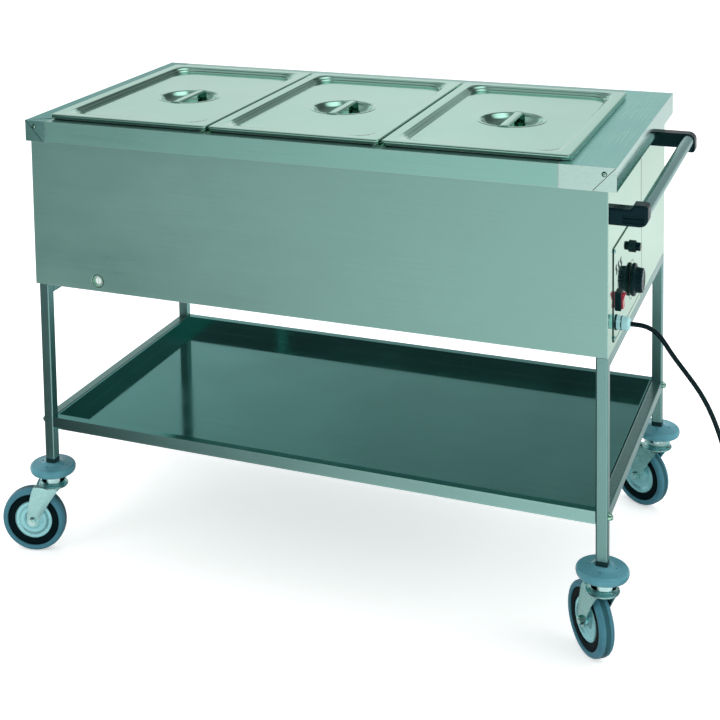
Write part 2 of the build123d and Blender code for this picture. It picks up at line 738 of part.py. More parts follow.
def all_nodes():
    nodes = {
        "left_end_frame": end_frame(-1),
        "right_end_frame": end_frame(1),
        "leg_collars": leg_collars(),
        "shelf_tray": shelf_tray(),
        "shelf_bolts": shelf_bolts(),
        "front_panel": front_panel(),
        "back_panel": back_panel(),
        "left_end_panel": left_end_panel(),
        "right_end_panel_front": right_end_front(),
        "right_end_panel_rear": right_end_rear(),
        "bottom_panel": bottom_panel(),
        "control_plate": control_plate(),
        "panel_screws": panel_screws(),
        "deck_left_cap": deck_cap(-1),
        "deck_right_cap": deck_cap(1),
        "deck_front_strip": deck_strip(-1),
        "deck_back_strip": deck_strip(1),
        "deck_rivets": deck_rivets(),
        "water_tank": water_tank(),
        "tank_insulation": tank_insulation(),
        "heating_element": heating_element(),
        "drain_pipe": drain_pipe(),
        "drain_plug": drain_plug(),
        "crossbars": crossbars(),
        "thermostat": thermostat(),
        "thermostat_knob": thermostat_knob(),
        "safety_cutout": safety_cutout(),
        "reset_button": reset_button(),
        "switch_housing": switch_housing(),
        "switch_rocker": switch_rocker(),
        "terminal_block": terminal_block(),
        "cable_gland": cable_gland(),
        "gland_cap_nut": gland_cap(),
        "mains_cord": mains_cord(),
        "handle_tube": handle_tube(),
        "handle_brackets": handle_brackets(),
        "caster_bumpers": caster_bumpers(),
        "caster_heads": caster_heads(),
    }
    for place, x in zip(("left", "middle", "right"), lid_centres):
        nodes["pan_" + place] = food_pan(x)
        nodes["lid_" + place] = lid(x)
    for name in corners:
        nodes["caster_fork_" + name] = caster_fork(name)
        nodes["caster_axle_" + name] = caster_axle(name)
        nodes["caster_hub_" + name] = caster_hub(name)
        nodes["caster_tyre_" + name] = caster_tyre(name)
    return nodes


def centred(nodes):
    """Move every node so that the origin is at the middle of the whole footprint."""
    middle = Compound(list(nodes.values())).bounding_box().center()
    return {node: Pos(-middle.X, -middle.Y, 0) * shape for node, shape in nodes.items()}


os.makedirs("parts", exist_ok=True)
for node, shape in centred(all_nodes()).items():
    export_step(shape, f"parts/{node}.step")
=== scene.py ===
import json
from math import atan2, cos, pi, radians, sin, sqrt

import bmesh
import bpy
from mathutils import Matrix, Vector


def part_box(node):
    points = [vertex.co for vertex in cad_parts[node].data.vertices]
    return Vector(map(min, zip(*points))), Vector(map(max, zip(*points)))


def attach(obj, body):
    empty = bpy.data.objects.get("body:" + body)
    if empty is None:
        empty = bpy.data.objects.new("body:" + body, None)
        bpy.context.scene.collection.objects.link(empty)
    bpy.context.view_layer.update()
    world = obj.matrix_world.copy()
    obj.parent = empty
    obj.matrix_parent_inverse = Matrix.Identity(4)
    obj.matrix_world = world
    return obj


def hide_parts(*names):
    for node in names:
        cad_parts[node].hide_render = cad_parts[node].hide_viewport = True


# Looks of the steam table trolley. Everything is in metres in the frame of the CAD model; MM turns
# millimetres into metres. Pieces take their places from the boxes and joints of the frame, and outlines
# are points in millimetres.
MM = 0.001

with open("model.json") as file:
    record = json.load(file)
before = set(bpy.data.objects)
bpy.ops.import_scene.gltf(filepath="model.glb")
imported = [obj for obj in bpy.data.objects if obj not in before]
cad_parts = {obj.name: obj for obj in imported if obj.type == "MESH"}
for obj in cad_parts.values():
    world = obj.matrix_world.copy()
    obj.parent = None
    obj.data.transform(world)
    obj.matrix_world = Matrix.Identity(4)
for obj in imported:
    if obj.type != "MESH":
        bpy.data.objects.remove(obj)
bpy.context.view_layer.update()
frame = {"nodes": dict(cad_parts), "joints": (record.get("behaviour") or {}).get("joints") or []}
nodes = frame["nodes"]
joints = {joint["name"]: joint for joint in frame["joints"]}
ENDS = ("left", "middle", "right")
CASTERS = ("front_left", "front_right", "rear_left", "rear_right")
left_cap, right_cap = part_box("deck_left_cap"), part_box("deck_right_cap")
DECK_MIDDLE = Vector(((left_cap[0].x + right_cap[1].x) / 2, (left_cap[0].y + left_cap[1].y) / 2, 0))
PLATE_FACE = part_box("control_plate")[1].x


# ---------------------------------------------------------------- node materials

def new_material(name):
    material = bpy.data.materials.new(name)
    material.use_nodes = True
    return material


def put(tree, kind, settings=None, **inputs):
    """Add a node; an input is a value or another node's socket, and i0, i1 ... go by number."""
    made = tree.nodes.new("ShaderNode" + kind)
    for key, value in (settings or {}).items():
        setattr(made, key, value)
    for key, value in inputs.items():
        by_number = key[0] == "i" and key[1:].isdigit()
        socket = made.inputs[int(key[1:])] if by_number else made.inputs[key.replace("_", " ")]
        if isinstance(value, bpy.types.NodeSocket):
            tree.links.new(value, socket)
        else:
            socket.default_value = value
    return made


def calc(tree, operation, a, b=0.0, c=0.0, clamp=False):
    settings = {"operation": operation, "use_clamp": clamp}
    return put(tree, "Math", settings, i0=a, i1=b, i2=c).outputs[0]


def place(tree, scale=(1, 1, 1)):
    """Object coordinates in metres, stretched by scale."""
    here = put(tree, "TexCoord").outputs["Object"]
    return put(tree, "Mapping", Vector=here, Scale=scale).outputs[0]


def noise(tree, vector, scale, detail=3.0, rough=0.55):
    made = put(tree, "TexNoise", Vector=vector, Scale=scale, Detail=detail, Roughness=rough)
    return made.outputs[0]


def remap(tree, value, low, high, to_low, to_high):
    made = put(tree, "MapRange", Value=value, From_Min=low, From_Max=high, To_Min=to_low, To_Max=to_high)
    return made.outputs[0]


def spread(tree, value, low, high):
    """Map a noise value, which mostly lies in 0.3 to 0.7, to low ... high."""
    return remap(tree, value, 0.3, 0.7, low, high)


def tint(tree, colour, amount):
    """A colour made lighter or darker by a factor."""
    base = colour if isinstance(colour, bpy.types.NodeSocket) else colour[:3]
    made = put(tree, "VectorMath", {"operation": "SCALE"}, i0=base, Scale=amount)
    return made.outputs[0]


def blend_colour(tree, factor, a, b):
    first = a if isinstance(a, bpy.types.NodeSocket) else (*a[:3], 1)
    second = b if isinstance(b, bpy.types.NodeSocket) else (*b[:3], 1)
    return put(tree, "Mix", {"data_type": "RGBA"}, i0=factor, i6=first, i7=second).outputs[2]


def bump(tree, height, distance, strength=1.0, under=None):
    made = put(tree, "Bump", Height=height, Distance=distance, Strength=strength)
    if under is not None:
        tree.links.new(under, made.inputs["Normal"])
    return made.outputs[0]


def edge_mask(tree, radius, gain=6.0):
    """1 near the sharp edges of a piece and 0 on its faces."""
    soft = put(tree, "Bevel", {"samples": 4}, Radius=radius).outputs[0]
    flat = put(tree, "NewGeometry").outputs["Normal"]
    same = put(tree, "VectorMath", {"operation": "DOT_PRODUCT"}, i0=soft, i1=flat).outputs["Value"]
    return calc(tree, "MULTIPLY", calc(tree, "SUBTRACT", 1.0, same), gain, clamp=True)


def link(tree, **inputs):
    """Set inputs of the material's main shader."""
    shader = tree.nodes["Principled BSDF"]
    for key, value in inputs.items():
        socket = shader.inputs[key.replace("_", " ")]
        if isinstance(value, bpy.types.NodeSocket):
            tree.links.new(value, socket)
        else:
            socket.default_value = value


GRAIN = {
    "x": (5, 900, 900),
    "y": (900, 5, 900),
    "z": (900, 900, 5),
}
CROSS_GRAIN = {"x": "y", "y": "x", "z": "x"}


SIDEWAYS_PAINTED_LIGHT = (0.44, 0.78, 0.70)    # painted light and shade on the buffed folds of the deck caps that look sideways
SIDE_ON = 0.7                       # a face looks along an axis when its normal reaches this far


def looks_along(tree, facing, axis):
    """1 on the faces that look one way or the other along an axis, and 0 elsewhere."""
    return calc(tree, "GREATER_THAN", calc(tree, "ABSOLUTE", facing.outputs[axis]), SIDE_ON)


def steel(name, colour, roughness, grain, streak=0.05, wave=0.0, brushed=0.5, edges=1.25, edge_width=1.0,
          polish_and_side_light=0.0, front_painted_light=None):
    """Rolled and brushed stainless sheet: fine grain along one axis, soft smears, a painted highlight along
    the edges.

    Faces that look along the grain take the grain across it, so that it never shows end on as dots.
    polish lowers the roughness of the faces that look sideways along X, as on a buffed fold, and gives them
    one colour of painted light and shade; apron is painted light and shade on the faces that look forwards or
    backwards.
    """
    material = new_material(name)
    tree = material.node_tree
    facing = put(tree, "SeparateXYZ", i0=put(tree, "NewGeometry").outputs["Normal"])
    end_on = looks_along(tree, facing, grain.upper())
    stretch = blend_colour(tree, end_on, GRAIN[grain], GRAIN[CROSS_GRAIN[grain]])
    fine = noise(tree, place(tree, stretch), 1.0, 2.0)
    coarse = noise(tree, place(tree, tint(tree, stretch, 0.25)), 1.0, 3.0)
    smear = noise(tree, place(tree, (1, 1, 1.6)), 5.0, 4.0, 0.6)
    spots = noise(tree, place(tree), 160.0, 2.0, 0.7)
    lines = calc(tree, "MULTIPLY_ADD", fine, 0.7, calc(tree, "MULTIPLY", coarse, 0.3))
    shade = calc(tree, "MULTIPLY", spread(tree, lines, 1 - streak, 1 + streak),
                 spread(tree, smear, 0.95, 1.05))
    shade = calc(tree, "MULTIPLY", shade, remap(tree, spots, 0.68, 0.8, 1.0, 0.9))
    # Painted highlight: the colour is lifted by the edges factor within edge_width of each sharp edge.
    edge = edge_mask(tree, edge_width * MM)
    shade = calc(tree, "MULTIPLY", shade, calc(tree, "MULTIPLY_ADD", edge, edges - 1, 1.0))
    rough = calc(tree, "ADD", spread(tree, lines, roughness - 0.04, roughness + 0.04),
                 spread(tree, smear, -0.03, 0.04))
    # Painted light and shade: faces that look forwards or backwards take their own colour.
    if front_painted_light:
        colour = blend_colour(tree, looks_along(tree, facing, "Y"), colour, front_painted_light)
    if polish_and_side_light:
        sideways = looks_along(tree, facing, "X")
        rough = calc(tree, "SUBTRACT", rough, calc(tree, "MULTIPLY", sideways, polish_and_side_light), clamp=True)
        # Painted light and shade: faces that look sideways along X take one fixed colour.
        colour = blend_colour(tree, sideways, colour, SIDEWAYS_PAINTED_LIGHT)
    normal = bump(tree, lines, 0.015 * MM, 0.4)
    if wave:
        normal = bump(tree, noise(tree, place(tree), 2.2, 1.0), wave * MM, 1.0, normal)
    along = put(tree, "CombineXYZ", **{grain.upper(): 1.0}).outputs[0]
    link(tree, Base_Color=tint(tree, colour, shade), Metallic=1.0, Roughness=rough, Normal=normal,
         Anisotropic=brushed, Tangent=along)
    return material


def zinc(name, colour, roughness, mottle=0.14, metal=1.0):
    """Zinc plate: a mottled crystal bloom over pressed steel; metal below 1 is a milky passivated coat."""
    material = new_material(name)
    tree = material.node_tree
    cell = put(tree, "TexVoronoi", Vector=place(tree), Scale=320.0, Randomness=1.0).outputs["Color"]
    bloom = noise(tree, place(tree), 60.0, 4.0, 0.65)
    shade = calc(tree, "MULTIPLY", spread(tree, bloom, 1 - mottle, 1 + mottle),
                 spread(tree, cell, 0.97, 1.03))
    # Painted highlight: edges a fifth lighter.
    shade = calc(tree, "MULTIPLY", shade, calc(tree, "MULTIPLY_ADD", edge_mask(tree, 0.8 * MM), 0.2, 1.0))
    rough = spread(tree, bloom, roughness - 0.08, roughness + 0.1)
    link(tree, Base_Color=tint(tree, colour, shade), Metallic=metal, Roughness=rough,
         Normal=bump(tree, bloom, 0.08 * MM, 0.6))
    return material


def moulded(name, colour, roughness, texture=0.05, scale=900.0, shine=0.5, coat=0.0, wear_and_sheen=0.35):
    """Moulded plastic or rubber: fine stipple, slow shade changes, edges lighter by rub wear and a painted
    highlight.
    """
    material = new_material(name)
    tree = material.node_tree
    stipple = noise(tree, place(tree), scale, 2.0, 0.6)
    slow = noise(tree, place(tree), 35.0, 3.0)
    edge = edge_mask(tree, 1.2 * MM)
    shade = calc(tree, "MULTIPLY", spread(tree, slow, 0.9, 1.1), spread(tree, stipple, 0.95, 1.05))
    # Rub wear and painted highlight: edges lighter by the wear amount.
    shade = calc(tree, "MULTIPLY_ADD", edge, wear_and_sheen, shade)
    rough = calc(tree, "MULTIPLY_ADD", edge, 0.05, spread(tree, slow, roughness - 0.05, roughness + 0.06))
    link(tree, Base_Color=tint(tree, colour, shade), Roughness=rough, Specular_IOR_Level=shine,
         Specular_Tint=(0.35, 0.9, 1.0, 1), Normal=bump(tree, stipple, texture * MM, 0.8), Coat_Weight=coat)
    return material


def tread_rubber(name, colour, dark):
    """Grey tyre rubber: a darker band round the middle of the running face, fine scuffs along the way it
    rolls.
    """
    material = moulded(name, colour, 0.45, 0.06, 700.0)
    tree = material.node_tree
    here = put(tree, "SeparateXYZ", i0=put(tree, "TexCoord").outputs["Object"])
    x, y, offset = (here.outputs[axis] for axis in "XYZ")
    radius = calc(tree, "SQRT", calc(tree, "MULTIPLY_ADD", x, x, calc(tree, "MULTIPLY", y, y)))
    rim = remap(tree, radius, 60.6 * MM, 61.8 * MM, 0.0, 1.0)
    away = calc(tree, "ABSOLUTE", offset)
    ragged = spread(tree, noise(tree, place(tree, (1, 1, 4)), 90.0, 4.0, 0.7), -0.7 * MM, 0.7 * MM)
    middle = remap(tree, calc(tree, "ADD", away, ragged), 3.9 * MM, 5.0 * MM, 1.0, 0.0)
    dark_band = calc(tree, "MULTIPLY", calc(tree, "MULTIPLY", rim, middle), 0.92)
    shader = tree.nodes["Principled BSDF"]
    clean = shader.inputs["Base Color"].links[0].from_socket
    tree.links.new(blend_colour(tree, dark_band, clean, dark), shader.inputs["Base Color"])
    return material


def wool(name, colour):
    """Mineral wool: tangled fibres."""
    material = new_material(name)
    tree = material.node_tree
    fibre = noise(tree, place(tree, (1, 4, 1)), 240.0, 6.0, 0.7)
    tuft = noise(tree, place(tree), 40.0, 4.0)
    shade = calc(tree, "MULTIPLY", spread(tree, fibre, 0.6, 1.2), spread(tree, tuft, 0.8, 1.15))
    link(tree, Base_Color=tint(tree, colour, shade), Roughness=0.95,
         Normal=bump(tree, fibre, 2.0 * MM, 1.0))
    return material


MATERIALS = {
    # Painted light in these settings: each edges factor is a painted highlight along the edges, and each
    # apron colour is painted light and shade on the faces that look forwards or backwards.
    "deck": steel("deck_steel", (0.35, 0.67, 0.61), 0.31, "x", brushed=0.6, wave=0.3, edges=2.4,
                  edge_width=1.6, front_painted_light=(0.40, 0.765, 0.675)),
    # The two end caps are the deck steel in a shaded and a lit copy: the left cap's colour is painted shade,
    # the right cap's painted light.
    "left_cap": steel("left_cap_steel_painted_shade", (0.10, 0.46, 0.42), 0.29, "y", brushed=0.5, wave=0.4, polish_and_side_light=0.24,
                      edges=2.2, edge_width=1.4, front_painted_light=(0.33, 0.66, 0.60)),
    "right_cap": steel("right_cap_steel_painted_light", (0.45, 0.99, 0.91), 0.29, "y", streak=0.03, brushed=0.5, wave=0.8,
                       polish_and_side_light=0.24, edges=1.6, edge_width=1.4, front_painted_light=(0.68, 0.96, 0.88)),
    "panel": steel("panel_steel", (0.37, 0.66, 0.59), 0.34, "x", brushed=0.6, wave=0.4, streak=0.035,
                   edges=2.6, edge_width=2.0),
    # The underside of the body is painted dark: painted shade under the body.
    "underside": steel("underside_steel_painted_shade", (0.07, 0.17, 0.155), 0.5, "x", brushed=0.3),
    "mirror": steel("bright_steel", (0.46, 0.81, 0.635), 0.06, "y", streak=0.015, brushed=0.2, wave=0.2),
    "shelf": steel("shelf_steel", (0.15, 0.49, 0.455), 0.09, "x", streak=0.04, brushed=0.3, wave=0.3,
                   edges=1.6, edge_width=1.2, front_painted_light=(0.34, 0.60, 0.56)),
    "tube": steel("tube_steel", (0.25, 0.47, 0.445), 0.30, "z", brushed=0.5),
    "lid": steel("lid_steel", (0.415, 0.76, 0.635), 0.09, "y", streak=0.012, brushed=0.2, wave=0.25),
    "pan": steel("pan_steel", (0.50, 0.68, 0.62), 0.25, "y", brushed=0.2),
    "handle": steel("handle_steel", (0.21, 0.49, 0.47), 0.2, "y", brushed=0.5),
    "zinc": zinc("zinc_plate", (0.48, 0.82, 0.80), 0.25, 0.09),
    "hub_zinc": zinc("hub_zinc", (0.38, 0.80, 0.84), 0.2, 0.08, metal=0.6),
    "bright_zinc": zinc("bright_zinc", (0.62, 0.92, 0.90), 0.09, 0.05),
    "element": zinc("element_sheath", (0.22, 0.2, 0.19), 0.5),
    "black": moulded("black_plastic", (0.003, 0.012, 0.016), 0.3, 0.02, shine=0.22, wear_and_sheen=0.6),
    "dark": moulded("dark_plastic", (0.01, 0.028, 0.028), 0.45, shine=0.3),
    "red": moulded("red_plastic", (0.42, 0.014, 0.035), 0.2, 0.01, coat=0.4, wear_and_sheen=2.0),
    "grey": moulded("grey_plastic", (0.46, 0.80, 0.83), 0.22, 0.02, wear_and_sheen=0.1),
    "white": moulded("white_plastic", (0.80, 0.88, 0.86), 0.3, 0.02),
    # Dark ink for printed marks, also used for painted shadow lines.
    "print_and_shadow_ink": moulded("printed_ink_and_painted_shadow", (0.004, 0.010, 0.012), 0.5, 0.0, wear_and_sheen=0.0),
    "pale_ink": moulded("pale_ink", (0.45, 0.66, 0.70), 0.5, 0.0, wear_and_sheen=0.0),
    "bumper": moulded("bumper_rubber", (0.100, 0.29, 0.35), 0.2, 0.03, shine=0.8),
    "tread": tread_rubber("tread_rubber", (0.060, 0.195, 0.255), (0.018, 0.075, 0.09)),
    "cushion": moulded("cushion_rubber", (0.0012, 0.005, 0.007), 0.5, 0.05, shine=0.12, wear_and_sheen=0.2),
    "cord": moulded("cord_rubber", (0.002, 0.005, 0.006), 0.3, 0.02, shine=0.35),
    "wool": wool("mineral_wool", (0.42, 0.34, 0.17)),
}

NODE_MATERIALS = {
    "deck": ("deck_front_strip", "deck_back_strip"),
    "left_cap": ("deck_left_cap",),
    "right_cap": ("deck_right_cap",),
    "panel": ("front_panel", "back_panel", "left_end_panel", "water_tank"),
    "underside": ("bottom_panel",),
    "mirror": ("right_end_panel_front", "right_end_panel_rear", "control_plate", "drain_pipe",
               "deck_rivets", "shelf_bolts", "crossbars"),
    "shelf": ("shelf_tray",),
    "tube": ("left_end_frame", "right_end_frame"),
    "lid": ("lid_left", "lid_middle", "lid_right"),
    "pan": ("pan_left", "pan_middle", "pan_right"),
    "handle": ("handle_tube",),
    "zinc": ("thermostat", "panel_screws"),
    "bright_zinc": ("caster_heads",),
    "element": ("heating_element",),
    "black": ("handle_brackets", "thermostat_knob", "reset_button", "switch_housing"),
    "dark": ("leg_collars", "safety_cutout"),
    "red": ("switch_rocker",),
    "grey": ("cable_gland", "gland_cap_nut"),
    "white": ("drain_plug", "terminal_block"),
    "bumper": ("caster_bumpers",),
    "cord": ("mains_cord",),
    "wool": ("tank_insulation",),
}
# Fasteners of the casters are CAD pieces too; the visual wheels and forks replace some of these nodes.
CASTER_MATERIALS = {"fork": "zinc", "axle": "bright_zinc", "hub": "hub_zinc", "tyre": "tread"}
SOFT_NODES = ("deck_front_strip", "deck_back_strip", "deck_left_cap", "deck_right_cap", "shelf_tray",
              "crossbars", "front_panel", "control_plate", "switch_housing", "switch_rocker")
EDGE_BREAK = 0.45 * MM
PANEL_FOLD = 1.1 * MM


def dress(piece, material):
    piece.data.materials.clear()
    piece.data.materials.append(material)


def soften(piece, width, segments=2):
    """Break the sharp edges of a CAD piece, so that they catch the light."""
    weld = piece.modifiers.new("join", "WELD")
    weld.merge_threshold = 0.001 * MM
    flat = piece.modifiers.new("flat_faces", "DECIMATE")
    flat.decimate_type = "DISSOLVE"
    flat.angle_limit = radians(0.5)
    bevel = piece.modifiers.new("edges", "BEVEL")
    bevel.width = width
    bevel.segments = segments
    bevel.limit_method = "ANGLE"
    bevel.angle_limit = radians(35)
    normals = piece.modifiers.new("shading", "WEIGHTED_NORMAL")
    normals.keep_sharp = False


def dress_nodes():
    for key, names in NODE_MATERIALS.items():
        for node in names:
            dress(nodes[node], MATERIALS[key])
    for caster in CASTERS:
        for part, key in CASTER_MATERIALS.items():
            dress(nodes[f"caster_{part}_{caster}"], MATERIALS[key])
    for node in SOFT_NODES:
        soften(nodes[node], PANEL_FOLD if node == "front_panel" else EDGE_BREAK)


# ---------------------------------------------------------------- mesh building

def rounded_loop(half_x, half_y, radius, z, corner_steps=10, side_steps=8):
    """A rounded rectangle as a closed loop of points, anticlockwise from the middle of +X."""
    points = []
    middles = [(1, 1, 0), (-1, 1, 90), (-1, -1, 180), (1, -1, 270)]
    for side_x, side_y, start in middles:
        centre = (side_x * (half_x - radius), side_y * (half_y - radius))
        for i in range(corner_steps + 1):
            angle = radians(start + 90 * i / corner_steps)
            points.append(Vector((centre[0] + radius * cos(angle), centre[1] + radius * sin(angle), z)))
    filled = []
    for i, point in enumerate(points):
        filled.append(point)
        after = points[(i + 1) % len(points)]
        if (i + 1) % (corner_steps + 1) == 0:
            filled += [point.lerp(after, j / side_steps) for j in range(1, side_steps)]
    return filled


def ring_like(loop, radius, z):
    """A circle whose points stand at the same bearings as the points of loop."""
    bearings = [atan2(point.y, point.x) for point in loop]
    return [Vector((radius * cos(a), radius * sin(a), z)) for a in bearings]


def skin(shape, loops, cap_start=False, cap_end=False, closed=False):
    """Join loops of equally many points into a surface, in a bmesh."""
    rows = [[shape.verts.new(point) for point in loop] for loop in loops]
    ends = rows[1:] + rows[:1] if closed else rows[1:]
    for row, after in zip(rows, ends):
        for i in range(len(row)):
            j = (i + 1) % len(row)
            shape.faces.new((row[i], row[j], after[j], after[i]))
    if cap_start:
        shape.faces.new(list(reversed(rows[0])))
    if cap_end:
        shape.faces.new(rows[-1])


def spin(shape, outline, steps=72, closed=False, caps=False, shift=None, at=(0, 0)):
    """Turn an outline of (radius, height) points about Z; shift moves a point by radius and height."""
    loops = []
    for radius, height in outline:
        loop = []
        for i in range(steps):
            angle = 2 * pi * i / steps
            out, up = shift(radius, height, angle) if shift else (0, 0)
            reach = (radius + out) * MM
            loop.append(Vector((at[0] + reach * cos(angle), at[1] + reach * sin(angle), (height + up) * MM)))
        loops.append(loop)
    skin(shape, loops, caps, caps, closed)


def plate_from(shape, outer, inner):
    """A sheet between two grids of points, closed along its border."""
    grids = [[[shape.verts.new(point) for point in row] for row in grid] for grid in (outer, inner)]
    for grid in grids:
        for row, after in zip(grid, grid[1:]):
            for i in range(len(row) - 1):
                shape.faces.new((row[i], row[i + 1], after[i + 1], after[i]))
    border = [around(grid) for grid in grids]
    for i in range(len(border[0])):
        j = (i + 1) % len(border[0])
        shape.faces.new((border[0][i], border[0][j], border[1][j], border[1][i]))


def around(grid):
    """The border points of a grid, in order."""
    right = [row[-1] for row in grid[1:]]
    bottom = list(reversed(grid[-1][:-1]))
    left = [row[0] for row in reversed(grid[1:-1])]
    return list(grid[0]) + right + bottom + left


def finish_piece(shape, name, material, smooth_below=40):
    """Turn a bmesh into an object, smooth below an angle in degrees."""
    bmesh.ops.recalc_face_normals(shape, faces=shape.faces)
    mesh = bpy.data.meshes.new(name)
    shape.to_mesh(mesh)
    shape.free()
    mesh.materials.append(material)
    mesh.shade_smooth()
    mesh.set_sharp_from_angle(angle=radians(smooth_below))
    piece = bpy.data.objects.new(name, mesh)
    bpy.context.scene.collection.objects.link(piece)
    return piece


def frame_at(origin, x_axis, z_axis):
    """A placement with its Z along z_axis and its X near x_axis."""
    z = Vector(z_axis).normalized()
    y = z.cross(Vector(x_axis)).normalized()
    turn = Matrix((y.cross(z), y, z)).transposed().to_4x4()
    return Matrix.Translation(origin) @ turn


# ---------------------------------------------------------------- lids

def lid_loops():
    """Loops from the bottom of the hem, over the border and down into the sunk panel and dish."""
    half_x, half_y = 162.5, 265.0
    loops = []

    def rect(inset, z, corner):
        loops.append(rounded_loop((half_x - inset) * MM, (half_y - inset) * MM, corner * MM, z * MM))

    for inset, z in ((1.0, -6.8), (0.3, -6.4), (0.0, -5.7), (0.0, -1.8), (0.25, -0.9), (0.9, -0.25),
                     (1.8, 0.0), (2.2, 0.0), (18.5, 0.0)):
        rect(inset, z, 6.0)
    for inset, z in ((20.5, -0.2), (22.0, -0.9), (23.0, -2.2), (23.6, -3.4), (24.6, -4.2), (26.0, -4.5),
                     (27.4, -4.9), (28.4, -5.9), (29.0, -7.2), (29.9, -8.3), (31.3, -8.9), (33.0, -9.0)):
        rect(inset, z, max(10.0, 66.0 - inset))
    floor = loops[-1]
    for radius, z in ((66.0, -9.0), (64.5, -8.95), (63.5, -8.5), (62.0, -8.4), (59.5, -8.4),
                      (57.8, -8.8), (56.4, -10.0), (54.5, -12.6), (51.0, -16.4), (46.0, -19.6),
                      (39.0, -22.0), (30.0, -23.2), (20.0, -23.7), (10.0, -23.9), (2.0, -24.0)):
        loops.append(ring_like(floor, radius * MM, z * MM))
    return loops


def lid_strap(shape):
    """The hand strap over the dish: a crowned band, wider where it runs into the panel."""
    rows = []
    reach = 62.0
    for i in range(25):
        t = -1 + 2 * i / 24
        flare = max(0.0, abs(t) - 0.82) / 0.18
        half = 8.5 + 4.0 * flare * flare
        rise = -8.1 - 0.5 * flare
        across = [(-1, -1.6), (-0.92, -0.3), (-0.6, 0.25), (0, 0.5), (0.6, 0.25), (0.92, -0.3), (1, -1.6)]
        rows.append([Vector((side * half * MM, t * reach * MM, (rise + z) * MM)) for side, z in across])
    made = [[shape.verts.new(point) for point in row] for row in rows]
    for row, after in zip(made, made[1:]):
        for i in range(len(row) - 1):
            shape.faces.new((row[i], row[i + 1], after[i + 1], after[i]))


def build_lids():
    for end in ENDS:
        low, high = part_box("lid_" + end)
        shape = bmesh.new()
        skin(shape, lid_loops(), cap_end=True)
        lid_strap(shape)
        lid = finish_piece(shape, "pressed_lid_" + end, MATERIALS["lid"], 60)
        lid.location = ((low.x + high.x) / 2, (low.y + high.y) / 2, high.z)
        sheet = lid.modifiers.new("sheet", "SOLIDIFY")
        sheet.thickness = 0.8 * MM
        sheet.offset = -1
        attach(lid, end + "_lid")
        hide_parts("lid_" + end)


# ---------------------------------------------------------------- casters

TREAD = [(51.1, 11.2), (51.3, 12.3), (52.0, 13.0), (53.4, 13.4), (55.5, 13.5), (57.8, 13.0), (59.8, 11.7),
         (61.3, 9.6), (62.1, 7.2), (62.4, 4.8), (62.5, 3.0), (62.3, 2.6), (62.25, 0.0)]
CUSHION = [(37.5, 9.6), (38.2, 10.7), (39.6, 11.2), (44.0, 11.3), (49.0, 11.0), (50.6, 10.6), (51.05, 9.8)]
HUB = [(4.1, 15.4), (8.0, 15.4), (8.9, 14.8), (9.4, 12.6), (10.4, 11.2), (13.5, 10.6), (16.2, 9.6),
       (17.6, 8.2), (19.2, 7.7), (25.2, 7.6), (27.0, 8.2), (28.4, 9.8), (29.8, 10.8), (32.0, 11.1),
       (34.6, 11.0), (36.4, 10.3), (37.35, 9.2)]
FORK_TOP, FORK_FOLD = 135.2, 130.0         # heights of the crown and of the bend into the legs
FORK_FRONT, FORK_BACK = -22.0, 31.0        # edges of a leg at the crown, from the swivel axis
FORK_INSIDE, FORK_SHEET = 16.0, 2.4        # half the gap between the legs, and the sheet
FORK_BEND = 5.5                            # how far the bend pulls a leg in at the crown
BOSS_RADIUS = 11.4
BOSS_FADE = 15.0                           # height over the axle in which the rolled edges flatten
FRONT_CURL, BACK_CURL = 1.5, 0.7           # how far the two edges roll outwards


def mirrored(half):
    """Close a half outline of (radius, offset) points by its mirror image."""
    return half + [(radius, -offset) for radius, offset in reversed(half) if offset > 0]


def build_wheel(caster):
    roll = joints["roll_" + caster]
    wheel_place = frame_at(roll["pos_m"], (0, 0, 1), roll["axis"])
    parts = (
        ("tread", TREAD, "tread", "tread_rubber"),
        ("cushion", CUSHION, "cushion", "tread_rubber"),
        ("wheel_disc", HUB, "hub_zinc", "zinc_plate"),
    )
    for name, half, material, finish in parts:
        shape = bmesh.new()
        spin(shape, mirrored(half), 96, closed=True)
        piece = finish_piece(shape, f"{name}_{caster}", MATERIALS[material], 50)
        piece.matrix_world = wheel_place
        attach(piece, "wheel_" + caster)
        if name == "tread":
            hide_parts("caster_tyre_" + caster)
        if name == "wheel_disc":
            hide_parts("caster_hub_" + caster)


def fork_leg(side, trail, axle_z):
    """Outer and inner grid of one fork leg; it narrows from the crown to a boss round the axle."""
    grids = []
    heights = [FORK_TOP, 135.0, 134.4, 133.4, 132.0, FORK_FOLD]
    heights += [FORK_FOLD - (FORK_FOLD - axle_z) * i / 16 for i in range(1, 17)]
    heights += [axle_z - BOSS_RADIUS * sin(radians(angle)) for angle in (15, 30, 42, 54, 65, 76, 85)]
    for inner in (0, FORK_SHEET):
        grid = []
        for z in heights:
            down = (FORK_TOP - z) / (FORK_TOP - axle_z)
            front, back = trail - BOSS_RADIUS, trail + BOSS_RADIUS
            if z >= axle_z:
                front = FORK_FRONT + (front - FORK_FRONT) * down ** 0.8
                back = FORK_BACK + (back - FORK_BACK) * down ** 0.5
            else:
                half = sqrt(BOSS_RADIUS ** 2 - (axle_z - z) ** 2)
                front, back = trail - half, trail + half
            lean = max(0.0, (z - FORK_FOLD) / (FORK_TOP - FORK_FOLD))
            base = FORK_INSIDE + FORK_SHEET - inner - FORK_BEND * (1 - sqrt(1 - lean * lean))
            fade = min(1.0, max(0.0, (z - axle_z) / BOSS_FADE)) * (1 - lean)
            row = []
            for i in range(15):
                t = i / 14
                curl = FRONT_CURL * max(0.0, 1 - t / 0.34) ** 1.3
                curl += BACK_CURL * max(0.0, (t - 0.86) / 0.14)
                y = side * (base + curl * fade)
                row.append(Vector((front + (back - front) * t, y, z)) * MM)
            grid.append(row)
        grids.append(grid)
    return grids


